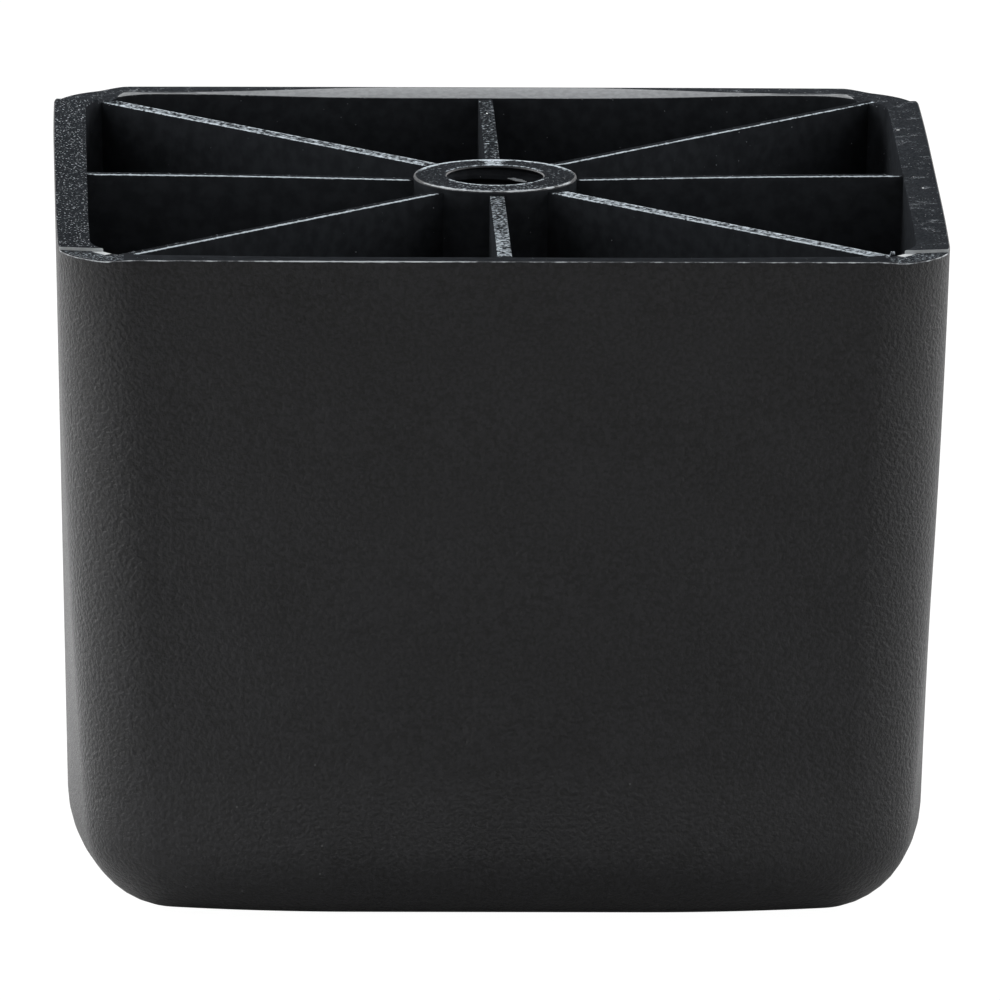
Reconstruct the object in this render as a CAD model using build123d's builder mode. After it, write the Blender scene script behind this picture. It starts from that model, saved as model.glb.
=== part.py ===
"""Plastic furniture leg: a square tapered cup with a ribbed core and a threaded boss, moulded as one piece."""
import os
from math import radians, sqrt, tan

from build123d import *

# Outer form, in millimetres and degrees: a tapered square whose sides curve back at their shoulders near the foot
HEIGHT = 60.0
TOP_SIDE = 78.2
SIDE_DRAFT = 1.45
SIDE_FLAT = 25.2
TOP_BOW = 0.23
FOOT_BOW = 3.2
TOP_CORNER = 7.3
FOOT_CORNER = 8.0
FORM_GROWTH = 2.0
FOOT_ROUND = 7.2
FORM_SECTIONS = 5

# Hollow and rim: the rim tilts inwards and steps down at its four corners
WALL = 2.9
CORNER_FILL = 2.2
FLOOR = 4.0
RIM_LAND = 0.3
RIM_TILT = 2.5
CORNER_PAD = 5.9
CORNER_STEP = 0.28
CUT_OVERLAP = 0.2
CUT_HEADROOM = 2.0

# Ribs: those to the walls sag towards the boss, and those to the corners stay at the lowest level
RIB_TOP = 1.25
RIB_DRAFT = 0.4
RIB_PAIRS = 4
RIB_CLEARANCE = 0.03
RIB_SAG = 0.6
CORNER_RIB_DROP = 0.4

# Boss and its bore, whose wall is the minor diameter of an M10 thread
BOSS_TOP_RADIUS = 7.25
BOSS_DRAFT = 0.5
BOSS_CLEARANCE = 0.1
BOSS_EDGE = 0.2
BORE_RADIUS = 4.3
BORE_DEPTH = 40.0
BORE_EDGE = 0.15

# Sizes that follow from the driving ones
DISH_INSET = WALL + CUT_OVERLAP
DISH_DROP = (DISH_INSET - RIM_LAND) * tan(radians(RIM_TILT))
FLOOR_ROUND = FOOT_ROUND - WALL
RIB_REACH = TOP_SIDE
RIB_SAG_START = TOP_SIDE / 2
RIB_FOOT = RIB_TOP + 2 * HEIGHT * tan(radians(RIB_DRAFT))
RIB_WALL_TOP = HEIGHT - CORNER_STEP - RIB_CLEARANCE
BOSS_TOP = HEIGHT - DISH_DROP - BOSS_CLEARANCE
BOSS_FOOT_RADIUS = BOSS_TOP_RADIUS + BOSS_TOP * tan(radians(BOSS_DRAFT))


def outline(level: float, inset: float = 0.0, fuller: float = 0.0) -> Sketch:
    """Cross-section of the form at one level: flat sides, curved shoulders and round corners.

    It is drawn in by an inset, and its corners can be made fuller than the outer ones.
    """
    share = (max(HEIGHT - level, 0.0) / HEIGHT) ** FORM_GROWTH
    half = TOP_SIDE / 2 - (HEIGHT - level) * tan(radians(SIDE_DRAFT))
    flat = SIDE_FLAT / 2
    bow = TOP_BOW + (FOOT_BOW - TOP_BOW) * share
    corner = TOP_CORNER + (FOOT_CORNER - TOP_CORNER) * share - inset + fuller
    shoulder = ((half - bow - flat) ** 2 + bow**2) / (2 * bow)
    middle = half - shoulder
    tip = (flat + middle + sqrt(2 * (shoulder - inset) ** 2 - (flat - middle) ** 2)) / 2
    with BuildSketch(Plane.XY.offset(level)) as section:
        with BuildLine():
            for turn in (0, 90, 180, 270):
                spots = [(-tip, -tip), (-flat, inset - half), (flat, inset - half), (tip, -tip)]
                left_tip, left, right, right_tip = [Vector(*spot).rotate(Axis.Z, turn) for spot in spots]
                Line(left, right)
                TangentArc(right, right_tip, tangent=right - left)
                TangentArc(left, left_tip, tangent=left - right)
        make_face()
        fillet(section.vertices().group_by(SortBy.DISTANCE)[-1], corner)
    return section.sketch


def levels(low: float, high: float) -> list[float]:
    """Evenly spaced section levels from low to high."""
    return [low + (high - low) * step / (FORM_SECTIONS - 1) for step in range(FORM_SECTIONS)]


# Ribs and boss: four crossing webs, drafted for the mould, that meet in a central boss
with BuildPart() as web:
    for turn in range(RIB_PAIRS):
        along = Vector(1, 0, 0).rotate(Axis.Z, 180 * turn / RIB_PAIRS)
        top = RIB_WALL_TOP - CORNER_RIB_DROP if turn % 2 else HEIGHT
        top_width = RIB_TOP + 2 * (HEIGHT - top) * tan(radians(RIB_DRAFT))
        with BuildSketch(Plane((0, 0, 0), x_dir=Vector(0, 0, 1).cross(along), z_dir=along)):
            with BuildLine():
                Polyline(
                    (-RIB_FOOT / 2, 0),
                    (RIB_FOOT / 2, 0),
                    (top_width / 2, top),
                    (-top_width / 2, top),
                    close=True,
                )
            make_face()
        extrude(amount=RIB_REACH, both=True)
    with BuildSketch(Plane.XZ):
        with BuildLine():
            sag = TangentArc((RIB_SAG_START, RIB_WALL_TOP), (0, RIB_WALL_TOP - RIB_SAG), tangent=(-1, 0))
            Polyline(sag @ 1, (0, HEIGHT + CUT_HEADROOM), (RIB_SAG_START, HEIGHT + CUT_HEADROOM), sag @ 0)
        make_face()
    revolve(axis=Axis.Z, mode=Mode.SUBTRACT)
    with BuildSketch(Plane.XZ) as boss:
        with BuildLine():
            Polyline((0, 0), (BOSS_FOOT_RADIUS, 0), (BOSS_TOP_RADIUS, BOSS_TOP), (0, BOSS_TOP), close=True)
        make_face()
        chamfer(boss.vertices().group_by(Axis.Y)[-1].sort_by(Axis.X)[-1], BOSS_EDGE)
    revolve(axis=Axis.Z)

# Hollow cells between the outer wall, the ribs and the boss
with BuildPart() as cells:
    loft([outline(level, WALL, CORNER_FILL) for level in levels(FLOOR, HEIGHT + CUT_HEADROOM)])
    fillet(cells.edges().group_by(Axis.Z)[0], FLOOR_ROUND)
    add(web.part, mode=Mode.SUBTRACT)

# The leg: tapered outer form with a rounded foot, hollowed by the cells
with BuildPart() as leg_body:
    loft([outline(level) for level in levels(0, HEIGHT)])
    fillet(leg_body.edges().group_by(Axis.Z)[0], FOOT_ROUND)
    add(cells.part, mode=Mode.SUBTRACT)
    loft([outline(HEIGHT - DISH_DROP, DISH_INSET), outline(HEIGHT, RIM_LAND)], ruled=True, mode=Mode.SUBTRACT)
    with Locations((0, 0, HEIGHT)):
        with GridLocations(TOP_SIDE, TOP_SIDE, 2, 2):
            Box(2 * CORNER_PAD, 2 * CORNER_PAD, 2 * CORNER_STEP, mode=Mode.SUBTRACT)
    with Locations((0, 0, BOSS_TOP)):
        CounterSinkHole(BORE_RADIUS, BORE_RADIUS + BORE_EDGE, BORE_DEPTH)

leg_body.part.label = "leg_body"

os.makedirs("parts", exist_ok=True)
export_step(leg_body.part, "parts/leg_body.step")
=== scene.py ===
"""Looks of a plastic furniture leg: a grained shell, a ribbed core and a threaded boss, moulded in one."""

import logging
import math
from dataclasses import dataclass
from enum import Enum, IntEnum

import bmesh
import bpy
from mathutils import Matrix, Vector
from mathutils.kdtree import KDTree


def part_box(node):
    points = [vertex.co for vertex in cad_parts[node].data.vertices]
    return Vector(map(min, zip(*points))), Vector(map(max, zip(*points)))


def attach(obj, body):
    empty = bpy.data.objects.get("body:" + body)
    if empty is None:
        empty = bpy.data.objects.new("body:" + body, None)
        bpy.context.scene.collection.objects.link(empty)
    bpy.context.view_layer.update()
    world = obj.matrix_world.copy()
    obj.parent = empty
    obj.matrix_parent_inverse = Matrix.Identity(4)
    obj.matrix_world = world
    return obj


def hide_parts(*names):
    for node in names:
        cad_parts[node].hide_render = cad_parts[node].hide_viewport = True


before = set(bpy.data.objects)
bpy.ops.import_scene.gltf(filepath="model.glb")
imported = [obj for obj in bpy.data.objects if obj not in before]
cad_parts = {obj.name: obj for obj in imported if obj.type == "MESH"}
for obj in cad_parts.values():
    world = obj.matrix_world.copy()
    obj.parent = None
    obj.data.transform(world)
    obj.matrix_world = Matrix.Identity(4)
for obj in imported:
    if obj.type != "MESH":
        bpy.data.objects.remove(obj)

LOG = logging.getLogger("furniture_leg")
MM = 0.001
PHOTO_SIDE = 1000
SENSOR = 36.0
Colour = tuple[float, float, float]
BODY = "root"
NODE = "leg_body"
# The wear attribute holds real edge wear and also painted highlights: the thread's glint, the rib tops set by
# how each faces the light, and the boss edges at front and back.
WEAR = "wear"


class Zone(IntEnum):
    """Material slot of each part of the moulding's skin."""

    GRAIN = 0
    TRIM = 1
    CORE = 2
    # Painted highlight: pale colour on the corner steps and the pads' inner edge, where the rounded step
    # catches the light.
    STEP_HIGHLIGHT = 3
    RIDGE = 4
    RING = 5
    EDGE = 6
    # Painted reflection: the back facet is coloured pale over its real gloss.
    FACET = 7
    SPARKLE = 8


class Ray(Enum):
    """Kinds of ray that see the surroundings as plain white."""

    CAMERA = "Is Camera Ray"
    TRANSMISSION = "Is Transmission Ray"


def smooth(value: float, low: float, high: float) -> float:
    """Rise smoothly from 0 at the low value to 1 at the high one."""
    share = min(max((value - low) / (high - low), 0.0), 1.0)
    return share * share * (3 - 2 * share)


class Skin:
    """Points and faces of a closed skin in millimetres, gathered before they become a mesh."""

    def __init__(self) -> None:
        """Start with no points and no faces."""
        self.points: list[Vector] = []
        self.wear: list[float] = []
        self.faces: list[list[int]] = []
        self.zones: list[int] = []

    def row(self, points: list[Vector], wear: float | list[float] = 0.0) -> list[int]:
        """Add a row of points.

        Args:
            points: The points, in millimetres.
            wear: How worn the plastic is there, once for all points or for each one.

        Returns:
            The numbers of the new points.
        """
        start = len(self.points)
        self.points += points
        self.wear += wear if isinstance(wear, list) else [wear] * len(points)
        return list(range(start, len(self.points)))

    def face(self, corners: list[int], zone: Zone) -> None:
        """Add one face."""
        self.faces.append(corners)
        self.zones.append(int(zone))

    def band(self, low: list[int], high: list[int], zone: Zone | list[Zone]) -> None:
        """Join two closed rows of equal length with quads.

        Args:
            low: Point numbers of the first row.
            high: Point numbers of the second row.
            zone: Material zone, once for the band or for each quad.
        """
        count = len(low)
        for i in range(count):
            j = (i + 1) % count
            self.face([low[i], low[j], high[j], high[i]], zone[i] if isinstance(zone, list) else zone)

    def to_object(self, name: str) -> bpy.types.Object:
        """Make a mesh object of the skin, with doubled points merged.

        Args:
            name: Name of the object and its mesh.

        Returns:
            The object, linked to the scene.
        """
        mesh = bpy.data.meshes.new(name)
        mesh.from_pydata([point * MM for point in self.points], [], self.faces)
        mesh.polygons.foreach_set("material_index", self.zones)
        mesh.attributes.new(WEAR, "FLOAT", "POINT").data.foreach_set("value", self.wear)
        sheet = bmesh.new()
        sheet.from_mesh(mesh)
        bmesh.ops.remove_doubles(sheet, verts=sheet.verts, dist=0.001 * MM)
        bmesh.ops.recalc_face_normals(sheet, faces=sheet.faces)
        sheet.to_mesh(mesh)
        sheet.free()
        piece = bpy.data.objects.new(name, mesh)
        bpy.context.scene.collection.objects.link(piece)
        return piece


@dataclass(frozen=True)
class Ring:
    """One closed ring of the shell: heights at sides and corners, inset from the outer form, and wear.

    The zone is that of the skin between this ring and the next one. The low zone and the low wear stand for
    the front corner pads, and the back zone for the back. The dish is how far the ring can sink in the middle
    of the front and the back, widen is how far it draws in at the ends of the back, and fuller is how much
    its corners are fuller than the outer ones. A ring that rubs is worn by its place round the edge.
    """

    side_level: float
    corner_level: float
    plan_level: float
    inset: float
    zone: Zone
    wear: float = 0.0
    dish: float = 0.0
    widen: float = 0.0
    fuller: float = 0.0
    rubs: bool = False
    low_wear: float = 0.0
    low_zone: Zone | None = None
    back_zone: Zone | None = None


@dataclass(frozen=True)
class Section:
    """Sizes of one cross-section, in millimetres and radians: half flat, shoulder arc and corner arc."""

    flat: float
    shoulder: float
    middle: float
    corner: float
    seat: float
    reach: float


@dataclass(frozen=True)
class LegForm:
    """Driving sizes of the moulding, in millimetres and degrees."""

    height: float
    top_side: float
    side_draft: float = 1.45
    side_flat: float = 25.2
    top_bow: float = 0.23
    foot_bow: float = 3.2
    top_corner: float = 7.3
    foot_corner: float = 8.0
    form_growth: float = 2.0
    foot_round: float = 7.2
    wall: float = 2.9
    floor: float = 4.0
    rim_land: float = 0.3
    rim_tilt: float = 2.5
    corner_fill: float = 2.2
    corner_pad: float = 5.9
    corner_step: float = 0.28
    edge_round: float = 0.1

    @property
    def floor_round(self) -> float:
        """Radius between the floor of the cells and the walls."""
        return self.foot_round - self.wall

    @property
    def rim_drop(self) -> float:
        """How far the rim falls from its outer to its inner edge."""
        return (self.wall - self.rim_land) * math.tan(math.radians(self.rim_tilt))

    def half(self, level: float) -> float:
        """Half the side of the square at one level."""
        return self.top_side / 2 - (self.height - level) * math.tan(math.radians(self.side_draft))

    def section(self, level: float, fuller: float) -> Section:
        """Sizes of the cross-section at one level.

        Args:
            level: Height of the section.
            fuller: How much larger the corner radius is than that of the outer form.

        Returns:
            The section's sizes.
        """
        share = (max(self.height - level, 0.0) / self.height) ** self.form_growth
        half, flat = self.half(level), self.side_flat / 2
        bow = self.top_bow + (self.foot_bow - self.top_bow) * share
        corner = self.top_corner + (self.foot_corner - self.top_corner) * share + fuller
        shoulder = ((half - bow - flat) ** 2 + bow**2) / (2 * bow)
        middle = half - shoulder
        seat = (flat + middle + math.sqrt(2 * (shoulder - corner) ** 2 - (flat - middle) ** 2)) / 2
        return Section(flat, shoulder, middle, corner, seat, math.atan2(seat - flat, seat - middle))

    def pad_stop(self, inset: float, fuller: float) -> float:
        """Place round a corner of the rim, from 0 to 1, where the corner pad begins."""
        cut = self.section(self.height, fuller)
        out = (self.top_side / 2 - self.corner_pad - cut.seat) / (cut.corner - inset)
        return (math.asin(out) - cut.reach) / (math.pi / 2 - 2 * cut.reach)

    def outline(
        self, level: float, inset: float, sides: list[float], corners: list[float], fuller: float = 0.0
    ) -> list[Vector]:
        """Cross-section of the form from the front side onwards: flat sides, curved shoulders, round corners.

        Args:
            level: Height of the section.
            inset: How far it is drawn in.
            sides: Places of the points along a side, from -1 to 1.
            corners: Places of the points round a corner, from 0 to 1.
            fuller: How much larger the corner radius is than that of the outer form.

        Returns:
            The points at height zero, side and corner by turns.
        """
        cut = self.section(level, fuller)
        flat, shoulder, middle, seat, reach = cut.flat, cut.shoulder, cut.middle, cut.seat, cut.reach
        points = []
        for stop in sides:
            along = stop * (flat + shoulder * reach)
            angle = max(abs(along) - flat, 0.0) / shoulder
            out = min(abs(along), flat) + (shoulder - inset) * math.sin(angle)
            depth = middle + (shoulder - inset) * math.cos(angle)
            points.append(Vector((math.copysign(out, along), -depth, 0)))
        for stop in corners:
            angle = reach + (math.pi / 2 - 2 * reach) * stop
            radius = cut.corner - inset
            points.append(Vector((seat + radius * math.sin(angle), -seat - radius * math.cos(angle), 0)))
        turns = [Matrix.Rotation(math.pi / 2 * quarter, 3, "Z") for quarter in range(4)]
        return [turn @ point for turn in turns for point in points]


@dataclass(frozen=True)
class RimColumns:
    """What each column of the shell does at the rim, counted from the left end of the front.

    Fall is the share of the corner step, sink that of the dish and draw that of the widening along the back.
    The others name columns: the front pads, the half of their inner edge painted with a pale highlight, the
    steps up to the sides, which carry the same painted highlight, the front, the left, the back, and the part
    of the back painted pale as a reflection over its real gloss.
    """

    fall: list[float]
    sink: list[float]
    draw: list[float]
    pads: set[int]
    pale_wear_and_highlight: set[int]
    risers: set[int]
    front: set[int]
    left: range
    back: range
    facet: range


@dataclass
class Shell:
    """The hollow tapered shell with its rounded foot and stepped rim."""

    form: LegForm
    side_steps: int = 32
    corner_steps: int = 14
    wall_steps: int = 22
    round_steps: int = 10
    edge_steps: int = 6
    ramp: tuple[float, float] = (0.04, 0.32)
    front_dish: float = 0.9
    front_fade: tuple[float, float] = (0.5, 1.0)
    back_dish: float = 1.5
    back_sink: float = 1.4
    back_fade: tuple[float, float] = (0.5, 0.95)
    back_land: float = 2.3
    back_band: float = 0.3
    back_draw: tuple[float, float] = (0.24, 0.86)
    pad_band: float = 0.5
    band_share: float = 0.8
    lip_share: float = 0.9
    outer_wear: tuple[float, float, float] = (0.5, 0.95, 0.6)
    land_wear: float = 0.1
    band_wear: float = 0.2
    pad_wear: float = 0.55
    inner_wear: tuple[float, float, float] = (0.4, 0.6, 0.35)
    rub_place: float = -13.0
    rub_reach: float = 7.0
    rub_fade: tuple[float, float] = (0.5, 1.5)
    rub_most: float = 1.5
    rub_least: float = 0.85
    rub_front: tuple[float, float] = (0.38, 0.44)

    def side_stops(self) -> list[float]:
        """Places of the columns along a side."""
        return [2 * i / self.side_steps - 1 for i in range(self.side_steps + 1)]

    def corner_stops(self, inset: float, fuller: float) -> list[float]:
        """Places of the columns round a corner, doubled where the rim steps down to the corner pad."""
        pad = self.form.pad_stop(inset, fuller)
        edge = [pad * step / self.edge_steps for step in range(1, self.edge_steps + 1)]
        inner = [pad + (1 - 2 * pad) * step / self.corner_steps for step in range(self.corner_steps + 1)]
        return edge + inner + [1 - stop for stop in reversed(edge)]

    def corner_drops(self) -> list[float]:
        """Share of the step by which each column round the front right corner falls: a ramp, then a step."""
        stops = self.corner_stops(0.0, 0.0)[: -self.edge_steps]
        return [smooth(stop, *self.ramp) for stop in stops] + [0.0] * self.edge_steps

    def rubbed(self, point: Vector) -> float:
        """Share of the wear at a place along the outer edge: most at the left of the front, none behind."""
        away = abs(point.x - self.rub_place) / self.rub_reach
        level = self.rub_most + (self.rub_least - self.rub_most) * smooth(away, *self.rub_fade)
        return level * smooth(-point.y / self.form.top_side, *self.rub_front)

    def outer_rings(self) -> list[Ring]:
        """Rings from the underside, round the foot and up the outer wall."""
        form = self.form
        rings = []
        for step in range(self.round_steps + 1):
            angle = math.pi / 2 * (1 - step / self.round_steps)
            level = form.foot_round * (1 - math.sin(angle))
            rings.append(Ring(level, level, level, form.foot_round * (1 - math.cos(angle)), Zone.GRAIN))
        low, high = form.foot_round, form.height - form.corner_step - form.edge_round
        for step in range(1, self.wall_steps + 1):
            level = low + (high - low) * step / self.wall_steps
            rings.append(Ring(level, level, level, 0.0, Zone.GRAIN))
        return rings

    def rim_rings(self) -> list[Ring]:
        """Rings over the rim, from its outer edge to its inner edge."""
        form = self.form
        top, pad, edge = form.height, form.height - form.corner_step, form.edge_round
        soft = edge * (1 - math.sqrt(0.5))
        drop = form.rim_drop
        band_drop = drop * self.band_share
        inner = {"dish": drop, "fuller": form.corner_fill}
        # The corner steps and the back facet get pale zones that paint a highlight and a reflection.
        highlight_zones = {"low_zone": Zone.STEP_HIGHLIGHT, "back_zone": Zone.FACET}
        edge_wear, crest_wear, top_wear = self.outer_wear
        lip_wear, turn_wear, wall_wear = self.inner_wear

        def rim(fall: float, inset: float, zone: Zone, wear: float, **extra: object) -> Ring:
            """One ring of the rim, lower at the corners."""
            return Ring(top - fall, pad - fall, top, inset, zone, wear, **extra)

        land = rim(0.0, form.rim_land, Zone.TRIM, self.land_wear, widen=self.back_land,
                   low_wear=self.pad_wear, low_zone=Zone.RING, back_zone=Zone.FACET)
        band = rim(band_drop, form.wall - self.pad_band, Zone.TRIM, self.band_wear, dish=band_drop,
                   widen=self.back_band, fuller=form.corner_fill / 2, low_wear=self.pad_wear, **highlight_zones)
        return [
            rim(edge, 0.0, Zone.EDGE, edge_wear, rubs=True),
            rim(soft, soft, Zone.EDGE, crest_wear, rubs=True),
            rim(0.0, edge, Zone.TRIM, top_wear, rubs=True),
            land,
            band,
            rim(drop * self.lip_share, form.wall - edge, Zone.TRIM, lip_wear, **inner, **highlight_zones),
            rim(drop + soft, form.wall - soft, Zone.TRIM, turn_wear, **inner, low_zone=Zone.STEP_HIGHLIGHT),
            rim(drop + edge, form.wall, Zone.CORE, wall_wear, **inner),
        ]

    def inner_rings(self) -> list[Ring]:
        """Rings down the cavity wall and round to its floor."""
        form = self.form
        rings = []
        high = form.height - form.corner_step - form.rim_drop - form.edge_round
        low = form.floor + form.floor_round
        for step in range(self.wall_steps + 1):
            level = high + (low - high) * step / self.wall_steps
            rings.append(Ring(level, level, level, form.wall, Zone.CORE, fuller=form.corner_fill))
        for step in range(1, self.round_steps + 1):
            angle = math.pi / 2 * step / self.round_steps
            level = low - form.floor_round * math.sin(angle)
            inset = form.wall + form.floor_round * (1 - math.cos(angle))
            rings.append(Ring(level, level, level, inset, Zone.CORE, fuller=form.corner_fill))
        return rings

    def columns(self) -> RimColumns:
        """Work out what each column does at the rim.

        Returns:
            The columns.
        """
        sides, drops = self.side_stops(), self.corner_drops()
        level_side, edge = [0.0] * len(sides), [False] * self.edge_steps
        low = ([False] * len(sides) + edge + [True] * (self.corner_steps + 1) + edge) * 4
        seams = [i for i in range(len(low)) if low[i] != low[(i + 1) % len(low)]]
        right_pad = range(seams[0] + 1, seams[1] + 1)
        left_pad = range(seams[6] + 1, seams[7] + 1)
        half_pad = self.corner_steps // 2
        right_half = range(right_pad.stop - 1 - half_pad, right_pad.stop - 1)
        left_half = range(left_pad.start, left_pad.start + half_pad)
        start = 2 * (len(sides) + len(drops))
        back = range(start - self.edge_steps, start + len(sides) + self.edge_steps)
        draw, sink = [1.0] * len(low), [0.0] * len(low)
        for place, stop in enumerate(sides):
            share = abs(stop)
            draw[start + place] = smooth(share, *self.back_draw)
            sink[start + place] = self.back_dish * (1 - draw[start + place])
            sink[start + place] += self.back_sink * (1 - smooth(share, *self.back_fade))
            sink[place] = self.front_dish * (1 - smooth(share, *self.front_fade))
        return RimColumns(
            fall=(level_side + drops + level_side + drops[::-1]) * 2,
            sink=sink,
            draw=draw,
            pads={*right_pad, *left_pad},
            pale_wear_and_highlight={*right_half, *left_half},
            risers={right_pad.stop - 1, left_pad.start - 1},
            front={*range(right_pad.start), *range(left_pad.stop, len(low))},
            left=range(seams[5] + 1, seams[6]),
            back=back,
            facet=range(back.start, back.stop - 1),
        )

    def points(self, ring: Ring, columns: RimColumns) -> list[Vector]:
        """Points of one ring, sunk and drawn in where its columns say so."""
        sides = self.side_stops()
        corners = self.corner_stops(min(ring.inset, self.form.wall), ring.fuller)
        plain = self.form.outline(ring.plan_level, ring.inset, sides, corners, ring.fuller)
        drawn = self.form.outline(ring.plan_level, ring.inset + ring.widen, sides, corners, ring.fuller)
        step = ring.corner_level - ring.side_level
        points = []
        for i, point in enumerate(plain):
            level = ring.side_level + step * columns.fall[i] - columns.sink[i] * ring.dish
            place = point.lerp(drawn[i], columns.draw[i]) if i in columns.back else point
            points.append(place + Vector((0, 0, level)))
        return points

    def wear(self, ring: Ring, points: list[Vector], columns: RimColumns) -> list[float]:
        """Wear of one ring's points: more on the front pads, and none within the front's land."""
        wear = [ring.wear * (self.rubbed(point) if ring.rubs else 1.0) for point in points]
        for i in columns.pads:
            wear[i] = max(wear[i], ring.low_wear)
        for i in columns.front if ring.inset > self.form.rim_land else ():
            wear[i] = 0.0
        return wear

    def zone(self, ring: Ring, column: int, columns: RimColumns) -> Zone:
        """Zone of the skin between one column of a ring and the next ring."""
        # The steps up to the sides carry the painted highlight.
        if column in columns.risers:
            return Zone.STEP_HIGHLIGHT
        lowered = columns.pale_wear_and_highlight if ring.low_zone is Zone.STEP_HIGHLIGHT else columns.pads
        if ring.low_zone is not None and column in lowered:
            return ring.low_zone
        if ring.back_zone is not None and column in columns.facet:
            return ring.back_zone
        if ring.zone is Zone.TRIM and column in columns.front and ring.inset > self.form.edge_round:
            return Zone.CORE
        return Zone.SPARKLE if ring.zone is Zone.TRIM and column in columns.left else ring.zone

    def build(self) -> bpy.types.Object:
        """Stack the rings into a closed shell.

        Returns:
            The shell as an object.
        """
        skin = Skin()
        columns = self.columns()
        rings = self.outer_rings() + self.rim_rings() + self.inner_rings()
        rows = []
        for ring in rings:
            points = self.points(ring, columns)
            rows.append(skin.row(points, self.wear(ring, points, columns)))
        for ring, first, second in zip(rings, rows, rows[1:]):
            skin.band(first, second, [self.zone(ring, i, columns) for i in range(len(first))])
        skin.face(rows[0][::-1], Zone.GRAIN)
        skin.face(rows[-1], Zone.CORE)
        return skin.to_object("shell")


@dataclass(frozen=True)
class RibTop:
    """Top of one rib: its width and lifts in millimetres, and its wear and painted highlight.

    The lifts are how far it lies above its usual height at the boss and at its end. The wear is the paleness
    of its two edges, of its middle, and what is added towards its end: partly real wear, partly a painted
    highlight set rib by rib by how it faces the light.
    """

    width: float
    boss_lift: float
    end_lift: float
    right_wear_and_highlight: float
    left_wear_and_highlight: float
    middle_wear_and_highlight: float
    end_wear_and_highlight: float


# Rib tops: the edge and middle values are wear plus a painted highlight, set per rib by which way it faces
# the light.
RIB_TOPS = (
    RibTop(1.15, 0.15, 0.2, 1.05, 0.4, 0.35, 0.0),
    RibTop(1.05, 0.4, 0.36, 1.0, 0.4, 0.35, -0.1),
    RibTop(1.3, 0.1, -0.25, 0.53, 0.53, 0.51, 0.0),
    RibTop(1.55, 0.32, 0.31, 0.9, 0.9, 0.66, 0.0),
    RibTop(1.15, 0.1, 0.16, 0.4, 1.1, 0.35, 0.05),
    RibTop(1.05, 0.0, 0.0, 0.4, 1.05, 0.35, 0.05),
    RibTop(1.3, 0.1, 0.0, 0.6, 0.6, 0.58, 0.16),
    RibTop(1.55, 0.1, 0.05, 0.95, 0.95, 0.7, 0.0),
)


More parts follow.
